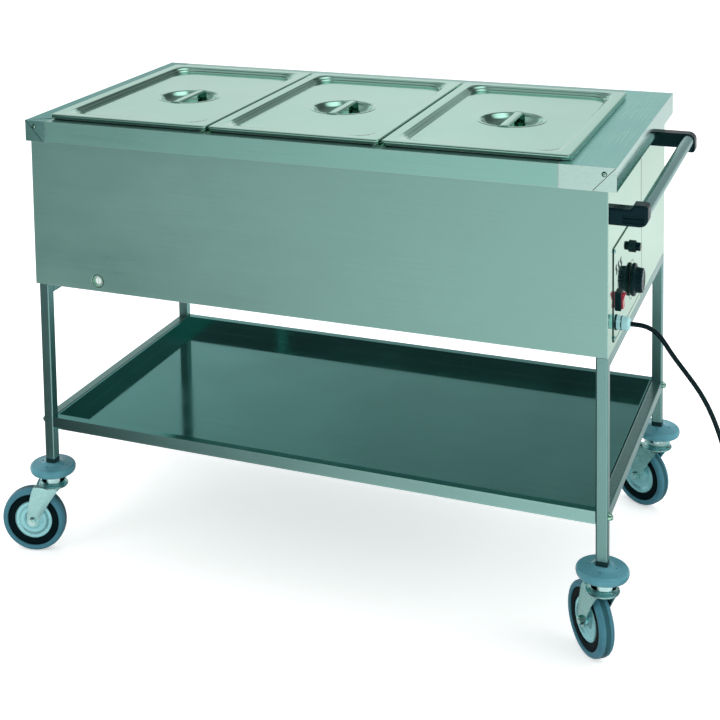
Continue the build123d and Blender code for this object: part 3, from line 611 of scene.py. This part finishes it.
CROWN = [(6.2, 132.6), (26.3, 132.4), (27.8, 133.0), (28.7, 134.4), (28.4, 135.9), (27.2, 136.7),
         (25.4, 136.4), (24.0, 136.9), (22.8, 138.9), (21.2, 140.0), (19.6, 139.9), (18.2, 138.2),
         (16.8, 136.3), (15.0, 135.9), (6.2, 135.9)]


def build_fork(caster):
    swivel = Vector(joints["swivel_" + caster]["pos_m"])
    roll = Vector(joints["roll_" + caster]["pos_m"])
    trail = roll - swivel
    trail.z = 0
    shape = bmesh.new()
    spin(shape, CROWN, 72, closed=True)
    for side in (-1, 1):
        plate_from(shape, *fork_leg(side, trail.length / MM, roll.z / MM))
    fork = finish_piece(shape, "pressed_fork_" + caster, MATERIALS["zinc"], 50)
    fork.matrix_world = frame_at((swivel.x, swivel.y, 0), trail, (0, 0, 1))
    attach(fork, "fork_" + caster)
    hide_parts("caster_fork_" + caster)


BUMPER = [(6.1, 162.7), (34.0, 162.6), (36.3, 161.9), (38.3, 160.7), (40.2, 160.2), (42.1, 161.1),
          (43.3, 163.2), (43.9, 166.0), (44.0, 169.0), (43.4, 171.6), (42.2, 173.3), (40.5, 174.4),
          (38.2, 174.7), (36.4, 174.5), (33.0, 174.9), (27.0, 175.4), (25.0, 175.7), (23.5, 175.9),
          (22.0, 176.2), (20.5, 176.5), (19.0, 176.9), (17.0, 177.7), (15.2, 178.5), (13.6, 178.9),
          (6.1, 178.95)]
# From the rivet under the crown, over the race cup, up the stem inside the leg.
CASTER_HEAD = [(0.5, 124.0), (9.8, 124.0), (11.0, 125.0), (11.0, 128.6), (6.0, 130.0), (6.0, 141.0),
               (20.0, 141.0), (23.0, 141.7), (24.7, 143.4), (25.4, 146.0), (25.5, 150.0), (25.3, 154.0),
               (24.8, 158.0), (23.8, 160.6), (22.2, 161.9), (20.0, 162.3), (6.0, 162.4), (5.9, 213.0),
               (5.0, 214.0), (0.5, 214.0)]
POCKET_CIRCLE, POCKET_RADIUS, POCKET_DEPTH = 22.0, 2.0, 3.0
BUMPER_TOP = 170.0                         # the bumper's points above this height are its top face


def pocket(radius, height, angle):
    """Sink four small round pockets into the top of a bumper."""
    if height < BUMPER_TOP:
        return 0, 0
    turn = (angle + pi / 4) % (pi / 2) - pi / 4
    away = sqrt((radius * cos(turn) - POCKET_CIRCLE) ** 2 + (radius * sin(turn)) ** 2)
    return 0, -POCKET_DEPTH if away < POCKET_RADIUS else 0.0


def build_caster_tops():
    """Bumpers and race cups, four of each, in one piece per kind."""
    spots = [joints["swivel_" + caster]["pos_m"] for caster in CASTERS]
    bumpers, heads = bmesh.new(), bmesh.new()
    for x, y, _ in spots:
        spin(bumpers, BUMPER, 120, closed=True, shift=pocket, at=(x, y))
        spin(heads, CASTER_HEAD, 72, caps=True, at=(x, y))
    saucer = finish_piece(bumpers, "bumper_saucers", MATERIALS["bumper"], 45)
    cups = finish_piece(heads, "race_cups", MATERIALS["bright_zinc"], 35)
    stands_for = ((saucer, "caster_bumpers", "bumper_rubber"), (cups, "caster_heads", "zinc_plate"))
    for piece, node, finish in stands_for:
        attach(piece, "chassis")
        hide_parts(node)


# ---------------------------------------------------------------- knob and printed marks

KNOB_DEPTH = 19.2
KNOB_DISH = 0.4
NUMERAL_CIRCLE, TICK_CIRCLE = 17.0, 33.5
KNOB = [(0.4, 0.0), (28.2, 0.0), (29.0, 0.8), (29.0, 4.0), (28.4, 5.2), (27.0, 6.0), (24.0, 6.3), (23.0, 7.0),
        (22.4, 8.4), (22.1, 11.0), (21.8, 15.0), (21.5, 17.4), (20.6, 18.7), (19.0, KNOB_DEPTH),
        (15.0, KNOB_DEPTH), (14.0, KNOB_DEPTH - KNOB_DISH), (0.4, KNOB_DEPTH - KNOB_DISH)]


def knob_grip(radius, height, angle):
    """Shallow flutes round the knob's grip and a fine knurl round its skirt."""
    if 21.0 < radius < 22.3 and 8 < height < 18:
        return -0.9 * max(0.0, cos(18 * angle)) ** 2, 0
    if radius > 28.9:
        return -0.25 * (1 + cos(60 * angle)), 0
    return 0, 0


def add_text(shape, text, size, thick, matrix):
    """Cut generic numerals from the plain built-in typeface into a bmesh."""
    curve = bpy.data.curves.new("numeral", "FONT")
    curve.body = text
    curve.size = size * MM
    curve.extrude = thick * MM / 2
    curve.offset = 0.025 * size * MM
    curve.align_x, curve.align_y = "CENTER", "CENTER"
    holder = bpy.data.objects.new("numeral", curve)
    bpy.context.scene.collection.objects.link(holder)
    bpy.context.view_layer.update()
    mesh = bpy.data.meshes.new_from_object(holder.evaluated_get(bpy.context.evaluated_depsgraph_get()))
    bpy.data.objects.remove(holder)
    mesh.transform(matrix)
    shape.from_mesh(mesh)
    bpy.data.meshes.remove(mesh)


def around_dial(centre, radius, clockwise):
    """A placement on the dial, upright in its direction; clockwise is in degrees from the top."""
    face = frame_at(centre, (0, 1, 0), (1, 0, 0))
    return face @ Matrix.Rotation(radians(-clockwise), 4, "Z") @ Matrix.Translation((0, radius * MM, 0))


def add_bar(shape, matrix, half_x, half_y, thick):
    """A thin printed bar with rounded ends."""
    loops = [rounded_loop(half_x * MM, half_y * MM, min(half_x, half_y) * 0.98 * MM, z * MM, 4, 2)
             for z in (-thick / 2, thick / 2)]
    turned = [[matrix @ point for point in loop] for loop in loops]
    skin(shape, turned, True, True)


def add_wave(shape, matrix, height, swing, half):
    """One upright wavy line of a heat sign."""
    outer, inner = [], []
    for i in range(25):
        t = i / 24
        x, y = swing * sin(2 * pi * t), height * (t - 0.5)
        for rows, z in ((outer, 0.12), (inner, -0.12)):
            rows.append([matrix @ (Vector((x + side * half, y, z)) * MM) for side in (-1, 0, 1)])
    plate_from(shape, outer, inner)


def build_knob():
    low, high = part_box("thermostat_knob")
    turn = joints["turn_thermostat"]["pos_m"]
    base = Vector((high.x - KNOB_DEPTH * MM, turn[1], turn[2]))
    shape = bmesh.new()
    spin(shape, KNOB, 180, closed=True, shift=knob_grip)
    knob = finish_piece(shape, "knob_cap", MATERIALS["black"], 40)
    knob.matrix_world = frame_at(base, (0, 0, 1), (1, 0, 0))
    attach(knob, "knob")
    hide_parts("thermostat_knob")
    marks = bmesh.new()
    face = Vector((high.x, turn[1], turn[2]))
    for number in range(10):
        add_text(marks, str(number), 4.6, 0.3, around_dial(face, NUMERAL_CIRCLE, -30 * number))
    dish = Vector((high.x - KNOB_DISH * MM, turn[1], turn[2]))
    add_bar(marks, around_dial(dish, 8.0, 0), half_x=0.9, half_y=4.5, thick=0.5)
    digits = finish_piece(marks, "knob_numerals", MATERIALS["pale_ink"], 30)
    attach(digits, "knob")


SIGN_FROM_KNOB = Vector((0, -126 * MM, 63 * MM))
WAVE_PITCH = 21 * MM


def build_plate_marks():
    """Printed dial ticks round the knob and a wavy heat sign over the switch."""
    turn = joints["turn_thermostat"]["pos_m"]
    centre = Vector((PLATE_FACE + 0.1 * MM, turn[1], turn[2]))
    marks = bmesh.new()
    for i in range(19):
        long = i % 2 == 0
        add_bar(marks, around_dial(centre, TICK_CIRCLE, 15 * i), 0.55, 1.8 if long else 1.1, 0.2)
    for i in (-1, 0, 1):
        spot = centre + SIGN_FROM_KNOB + Vector((0, WAVE_PITCH * i, 0))
        add_wave(marks, frame_at(spot, (0, 1, 0), (1, 0, 0)), height=17.0, swing=4.0, half=5.0)
    print_marks = finish_piece(marks, "plate_marks", MATERIALS["print_and_shadow_ink"], 30)
    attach(print_marks, "chassis")


def add_line(shape, start, end, normal, half):
    """A thin dark strip on a surface that looks along normal."""
    run = end - start
    middle = frame_at((start + end) / 2, run.cross(normal), normal)
    add_bar(shape, middle, half, run.length / 2 / MM, 0.3)


def add_ring(shape, matrix, inner, outer, height):
    """A flat dark ring that stands on the XY plane of a placement."""
    ring = bmesh.new()
    spin(ring, [(inner, 0), (outer, 0), (outer, height), (inner, height)], 48, closed=True)
    bmesh.ops.transform(ring, verts=ring.verts, matrix=matrix)
    copy = bpy.data.meshes.new("ring")
    ring.to_mesh(copy)
    ring.free()
    shape.from_mesh(copy)
    bpy.data.meshes.remove(copy)


def plate_seams(shape):
    """A dark gap and painted shadow round the control plate, painted shade down its front edge, and a dark
    joint between the two end panels.
    """
    low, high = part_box("control_plate")
    front_panel_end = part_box("right_end_panel_front")[1].y
    rear_low, rear_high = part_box("right_end_panel_rear")
    seam_y = (front_panel_end + rear_low.y) / 2
    sideways, forwards = Vector((1, 0, 0)), Vector((0, -1, 0))
    sunk = 0.05 * MM
    face, skin_x = high.x - sunk, rear_high.x + sunk
    corners = [Vector((face, y, z)) for y, z in
               ((low.y, low.z), (high.y, low.z), (high.y, high.z), (low.y, high.z))]
    # Painted shadow along the edges of the control plate.
    for i, corner in enumerate(corners):
        add_line(shape, corner, corners[(i + 1) % 4], sideways, 0.75)
    # Painted shade over the plate's front side face.
    side_x = high.x - 0.6 * MM
    add_line(shape, Vector((side_x, low.y, low.z)), Vector((side_x, low.y, high.z)), forwards, 0.7)
    seam_foot = Vector((skin_x, seam_y, rear_low.z))
    add_line(shape, seam_foot, Vector((skin_x, seam_y, rear_high.z)), sideways, 0.6)


def corner_seams(shape):
    """The slanting cut in the folded tab at each corner of the deck."""
    for cap, outward in (("deck_left_cap", -1), ("deck_right_cap", 1)):
        low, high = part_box(cap)
        edge = high.x if outward > 0 else low.x
        for y, away in ((low.y, -1), (high.y, 1)):
            top = Vector((edge - outward * 1.5 * MM, y, high.z - 2 * MM))
            foot = Vector((edge - outward * 38 * MM, y, low.z + 1 * MM))
            add_line(shape, top, foot, Vector((0, away, 0)), 0.5)


def ring_seams(shape):
    """Painted shade in two grooves on the cable gland and round each rivet of the deck."""
    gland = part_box("gland_cap_nut")
    axis = Vector((PLATE_FACE, (gland[0].y + gland[1].y) / 2, (gland[0].z + gland[1].z) / 2))
    # Painted shade in the gland's grooves.
    for x, radius, width in ((0.1, 12.9, 1.4), (8.3, 11.9, 1.8)):
        spot = frame_at(axis + Vector((x * MM, 0, 0)), (0, 0, 1), (1, 0, 0))
        add_ring(shape, spot, radius - 2, radius, width)
    low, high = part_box("deck_rivets")
    head = (high.z - low.z) / 2
    front_y, back_y = left_cap[0].y, left_cap[1].y
    # Painted shade round each rivet.
    for x in (low.x + head, high.x - head):
        for y, away in ((front_y, -1), (back_y, 1)):
            spot = frame_at(Vector((x, y, low.z + head)), (0, 0, 1), (0, away, 0))
            add_ring(shape, spot, head / MM - 0.2, head / MM + 0.8, 0.3)


def build_joint_lines():
    """Thin dark strips and rings in one piece: dark joints where sheets meet, a dark gap with painted shadow
    round the control plate, and painted shade in the gland's grooves and round the rivets.
    """
    shape = bmesh.new()
    plate_seams(shape)
    corner_seams(shape)
    ring_seams(shape)
    shadow_and_joint_lines = finish_piece(shape, "joint_and_shadow_lines", MATERIALS["print_and_shadow_ink"], 30)
    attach(shadow_and_joint_lines, "chassis")


# ---------------------------------------------------------------- stage, light and camera

def build_floor():
    """A plain pale floor; mirrors see it darker in front and to the left, as in a deep studio.

    slant tells which way a mirrored ray runs over the floor: it grows towards the left. The distances
    are along Y, from far in front of the trolley to behind it.
    """
    material = new_material("floor")
    tree = material.node_tree
    path = put(tree, "LightPath")
    here = put(tree, "NewGeometry").outputs["Position"]
    where = put(tree, "SeparateXYZ", i0=here)
    view = put(tree, "SeparateXYZ", i0=put(tree, "NewGeometry").outputs["Incoming"])
    slant = calc(tree, "DIVIDE", view.outputs["X"], view.outputs["Y"])
    leftness = remap(tree, slant, 0.35, 0.72, 0.0, 1.0)
    nearness = remap(tree, where.outputs["Y"], -2.6, -0.7, 0.0, 1.0)
    front = remap(tree, slant, 0.15, 0.72, 0.80, 0.12)
    shade = calc(tree, "MULTIPLY", leftness, nearness)
    front = calc(tree, "MULTIPLY", front, calc(tree, "SUBTRACT", 1.0, shade))
    behind = remap(tree, where.outputs["Y"], 0.3, 2.1, 0.42, 0.80)
    is_behind = calc(tree, "GREATER_THAN", where.outputs["Y"], 0.0)
    seen = put(tree, "Mix", {"data_type": "FLOAT"}, i0=is_behind, i2=front, i3=behind).outputs[0]
    level = put(tree, "Mix", {"data_type": "FLOAT"}, i0=path.outputs["Is Glossy Ray"], i2=0.9, i3=seen)
    grain = spread(tree, noise(tree, here, 1.3, 4.0), 0.99, 1.01)
    glow = calc(tree, "MULTIPLY", path.outputs["Is Camera Ray"], 0.45)
    cool = calc(tree, "MULTIPLY", leftness, path.outputs["Is Glossy Ray"])
    colour = blend_colour(tree, cool, (1.0, 1.0, 1.0), (0.74, 0.98, 1.0))
    link(tree, Base_Color=tint(tree, colour, calc(tree, "MULTIPLY", level.outputs[0], grain)),
         Roughness=0.9, Specular_IOR_Level=0.0, Emission_Color=(1, 1, 1, 1), Emission_Strength=glow)
    bpy.ops.mesh.primitive_plane_add(size=60)
    floor = bpy.context.object
    floor.name = "floor"
    dress(floor, material)


HIGH_LIGHT = Vector((0.53, 0.0, 0.85)).normalized()
SKY = ((0.0, 0.82), (0.28, 0.82), (0.35, 0.34), (0.46, 0.20), (0.62, 0.20), (0.95, 0.42))


def build_world():
    """White for the eye and for lighting; mirrors see bright and dim bands and one high light.

    SKY gives the mirrored brightness by height. It is dimmer in front than behind, slopes down to the
    right behind, and has a bright spot high on the right.
    """
    world = bpy.data.worlds.new("studio")
    bpy.context.scene.world = world
    world.use_nodes = True
    tree = world.node_tree
    ray = put(tree, "TexCoord").outputs["Generated"]
    direction = put(tree, "SeparateXYZ", i0=ray)
    up = direction.outputs["Z"]
    ramp = put(tree, "ValToRGB", Fac=up)
    stops = ramp.color_ramp.elements
    while len(stops) < len(SKY):
        stops.new(0.5)
    for stop, (position, level) in zip(stops, SKY):
        stop.position = position
        stop.color = (level, level, level, 1)
    back = remap(tree, direction.outputs["Y"], -0.25, 0.15, 0.0, 1.0)
    high = remap(tree, up, 0.55, 0.8, 0.0, 1.0)
    in_front = remap(tree, direction.outputs["X"], -0.2, 0.2, 0.26, 0.80)
    keep = remap(tree, calc(tree, "MAXIMUM", back, high), 0.0, 1.0, in_front, 1.0)
    slant = calc(tree, "DIVIDE", direction.outputs["X"], calc(tree, "MAXIMUM", direction.outputs["Y"], 0.01))
    slant = calc(tree, "MULTIPLY", slant, remap(tree, direction.outputs["Y"], -0.1, 0.1, 0.0, 1.0))
    left_low = remap(tree, slant, -0.6, -0.3, 0.90, 1.0)
    left_high = remap(tree, slant, -0.58, -0.35, 1.5, 1.0)
    above = remap(tree, up, 0.28, 0.35, 0.0, 1.0)
    left = put(tree, "Mix", {"data_type": "FLOAT"}, i0=above, i2=left_low, i3=left_high).outputs[0]
    right = remap(tree, slant, -0.3, 0.35, 1.0, 0.45)
    keep = calc(tree, "MULTIPLY", keep, calc(tree, "MULTIPLY", left, right))
    nearness = put(tree, "VectorMath", {"operation": "DOT_PRODUCT"}, i0=ray, i1=HIGH_LIGHT).outputs["Value"]
    keep = calc(tree, "ADD", keep, remap(tree, nearness, 0.88, 0.98, 0.0, 3.2))
    mirrored_sky = tint(tree, ramp.outputs[0], keep)
    glossy = put(tree, "LightPath").outputs["Is Glossy Ray"]
    colour = blend_colour(tree, glossy, (0.92, 0.92, 0.92), mirrored_sky)
    tree.links.new(colour, tree.nodes["Background"].inputs["Color"])


def add_softbox(name, spot, target, size, power):
    lamp = bpy.data.lights.new(name, "AREA")
    lamp.shape = "RECTANGLE"
    lamp.size, lamp.size_y = size
    lamp.energy = power
    holder = bpy.data.objects.new(name, lamp)
    bpy.context.scene.collection.objects.link(holder)
    holder.visible_glossy = False
    holder.location = Vector(spot)
    holder.rotation_euler = (Vector(target) - Vector(spot)).to_track_quat("-Z", "Y").to_euler()


CAMERA_FROM_DECK = Vector((0.9722, -2.6704, 1.4721))
CAMERA_ANGLES = (84.375, 1.207, 23.666)
CAMERA_LENS, CAMERA_SENSOR = 74.6, 36.0
CAMERA_SHIFT = (("shift_x", 0.146), ("shift_y", -0.592))


def build_camera():
    """The camera stands in front and to the right, and its picture is taken low off its axis.

    That offset only belongs to this station, so a driver drops it when the camera stands elsewhere.
    """
    data = bpy.data.cameras.new("camera")
    data.lens = CAMERA_LENS
    data.sensor_width = CAMERA_SENSOR
    camera = bpy.data.objects.new("camera", data)
    bpy.context.scene.collection.objects.link(camera)
    camera.location = DECK_MIDDLE + CAMERA_FROM_DECK
    camera.rotation_euler = [radians(angle) for angle in CAMERA_ANGLES]
    station = bpy.data.objects.new("camera_station", None)
    bpy.context.scene.collection.objects.link(station)
    station.location = camera.location
    for channel, offset in CAMERA_SHIFT:
        driver = data.driver_add(channel).driver
        gap = driver.variables.new()
        gap.name = "gap"
        gap.type = "LOC_DIFF"
        gap.targets[0].id = camera
        gap.targets[1].id = station
        driver.expression = f"{offset} if gap < 0.001 else 0.0"
    bpy.context.scene.camera = camera


dress_nodes()
build_lids()
for caster in CASTERS:
    build_wheel(caster)
    build_fork(caster)
build_caster_tops()
build_knob()
build_plate_marks()
build_joint_lines()
build_floor()
build_world()
add_softbox("overhead", (0.0, 0.9, 2.9), (0, 0, 0.8), (2.6, 1.6), 30)
add_softbox("right_side", (3.0, 0.2, 1.5), (0.4, 0, 0.6), (1.6, 1.6), 20)
add_softbox("front_left", (-2.2, -3.0, 2.4), (0, 0, 0.6), (1.6, 1.6), 20)
build_camera()
bpy.context.scene.view_settings.view_transform = "Standard"
